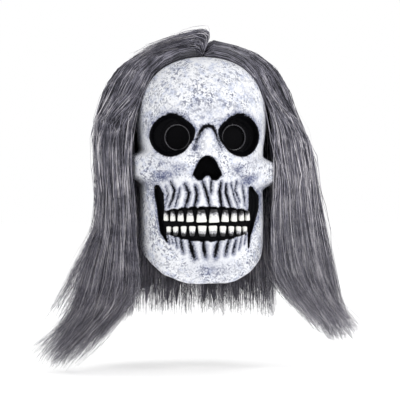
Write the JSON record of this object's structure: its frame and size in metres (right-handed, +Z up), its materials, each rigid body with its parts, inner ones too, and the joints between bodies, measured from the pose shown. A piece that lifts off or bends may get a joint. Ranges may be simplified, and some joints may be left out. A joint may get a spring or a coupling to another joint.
{
  "type": "latex halloween mask",
  "caption": "Overhead skull mask of cast latex with screened eye sockets and nose, a strapped slot at the nape and a long parted wig glued on in tracks.",
  "frame": {"origin": "the point inside the dome where the wearer's crown touches it", "axes": "+Z up the head, -Y the way the face looks, +X towards the wearer's left"},
  "size_m": [0.41, 0.2426, 0.4086],
  "materials": {
    "painted_latex": "off-white dry-brushed paint over a dark blue-grey wash, semi-matte",
    "screen_mesh": "stiff black open mesh",
    "elastic": "ribbed knitted elastic",
    "patch_latex": "bare cast latex, glued down",
    "weft_band": "machine-sewn hair track",
    "grey_hair": "straight synthetic fibre, soft sheen"
  },
  "bodies": {
    "mask": {"latex_shell": "painted_latex", "eye_screen_left": "screen_mesh", "eye_screen_right": "screen_mesh", "nose_screen": "screen_mesh", "nape_strap": "elastic", "strap_patch_left": "patch_latex", "strap_patch_right": "patch_latex", "crown_patch": "weft_band", "upper_weft_left": "weft_band", "upper_weft_right": "weft_band", "upper_weft_back": "weft_band", "lower_weft_left": "weft_band", "lower_weft_right": "weft_band", "lower_weft_back": "weft_band", "crown_hair_left": "grey_hair", "crown_hair_right": "grey_hair", "crown_hair_back": "grey_hair", "parting_tuft": "grey_hair"},
    "left_hair": {"side_fall_left": "grey_hair"},
    "right_hair": {"side_fall_right": "grey_hair"},
    "back_hair": {"back_fall": "grey_hair"}
  },
  "joints": [
    {"name": "left_hair_lift", "type": "hinge", "parent": "mask", "child": "left_hair", "pos_m": [0.12, 0, -0.0636], "axis": [0, -1, 0], "range_deg": [0, 60]},
    {"name": "right_hair_lift", "type": "hinge", "parent": "mask", "child": "right_hair", "pos_m": [-0.126, 0, -0.0636], "axis": [0, 1, 0], "range_deg": [0, 60]},
    {"name": "back_hair_lift", "type": "hinge", "parent": "mask", "child": "back_hair", "pos_m": [0, 0.1156, -0.0636], "axis": [1, 0, 0], "range_deg": [0, 60]}
  ]
}
